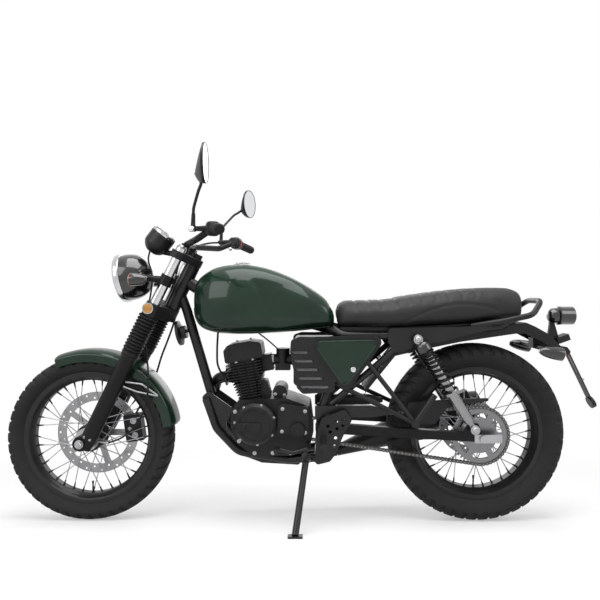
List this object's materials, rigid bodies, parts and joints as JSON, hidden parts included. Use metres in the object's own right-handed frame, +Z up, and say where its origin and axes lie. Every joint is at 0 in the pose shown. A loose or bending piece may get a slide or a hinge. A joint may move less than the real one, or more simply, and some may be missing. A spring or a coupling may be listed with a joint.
{
  "type": "cafe racer motorcycle",
  "caption": "Small naked road motorcycle with spoked wheels, round headlight, ribbed flat seat and open single-cylinder engine, parked on its side stand.",
  "frame": {"origin": "centre of the bounding box on the floor, with the machine leaning on its side stand", "axes": "+X towards the rear wheel, +Y towards the rider's right, +Z up"},
  "size_m": [2.0734, 0.8354, 1.2765],
  "materials": {
    "black_frame": "satin black paint",
    "green_paint": "deep green lacquer",
    "black_casting": "matt black casting",
    "dark_steel": "black painted steel",
    "bright_steel": "plated steel",
    "chrome": "polished chrome",
    "disc_steel": "ground steel",
    "tyre": "tyre rubber",
    "rubber": "matt rubber",
    "seat_cover": "grained black covering",
    "black_plastic": "textured black plastic",
    "amber_lens": "amber lens",
    "red_lens": "red lens",
    "clear_glass": "clear moulded glass"
  },
  "bodies": {
    "chassis": {"frame": "black_frame", "crankcase": "black_casting", "cylinder": "black_casting", "carburettor": "black_casting", "exhaust": "dark_steel", "fuel_tank": "green_paint", "fuel_cap": "chrome", "seat": "seat_cover", "seat_base": "black_plastic", "airbox": "black_plastic", "side_covers": "black_plastic", "side_panels": "green_paint", "rear_mudguard": "black_plastic", "tail_bracket": "black_plastic", "tail_light": "red_lens", "rear_indicators": "amber_lens", "grab_rail": "dark_steel", "shocks": "chrome", "swingarm": "black_frame", "rear_axle": "bright_steel", "chain": "bright_steel", "chain_guard": "black_plastic", "footrests": "dark_steel", "rear_caliper": "black_casting", "horn": "black_plastic", "engine_leads": "rubber"},
    "fork": {"yokes": "black_casting", "fork_tubes": "chrome", "fork_gaiters": "rubber", "fork_lowers": "black_frame", "front_axle": "bright_steel", "front_mudguard": "green_paint", "headlight": "black_frame", "headlight_lens": "clear_glass", "lamp_brackets": "black_frame", "front_indicators": "amber_lens", "instrument": "black_plastic", "handlebar": "dark_steel", "hand_controls": "rubber", "mirrors": "black_plastic", "front_caliper": "black_casting", "fork_cables": "rubber"},
    "front_wheel": {"front_tyre": "tyre", "front_wheel": "black_frame", "front_disc": "disc_steel"},
    "rear_wheel": {"rear_tyre": "tyre", "rear_wheel": "black_frame", "sprocket": "disc_steel", "rear_disc": "disc_steel"},
    "side_stand": {"side_stand": "black_frame"}
  },
  "joints": [
    {"name": "steering", "type": "hinge", "parent": "chassis", "child": "fork", "pos_m": [-0.39231, 0.04561, 0.8841], "axis": [0.4384, -0.1561, 0.8851], "range_deg": [-38, 38]},
    {"name": "front_wheel_spin", "type": "hinge", "parent": "fork", "child": "front_wheel", "pos_m": [-0.7477, 0.15075, 0.28781], "axis": [0, 0.9848, 0.1736], "continuous": true},
    {"name": "rear_wheel_spin", "type": "hinge", "parent": "chassis", "child": "rear_wheel", "pos_m": [0.6023, 0.14728, 0.30751], "axis": [0, 0.9848, 0.1736], "continuous": true},
    {"name": "side_stand_fold", "type": "hinge", "parent": "chassis", "child": "side_stand", "pos_m": [0.0113, 0.04844, 0.22306], "axis": [0, -0.902, 0.4317], "range_deg": [0, 97]}
  ]
}
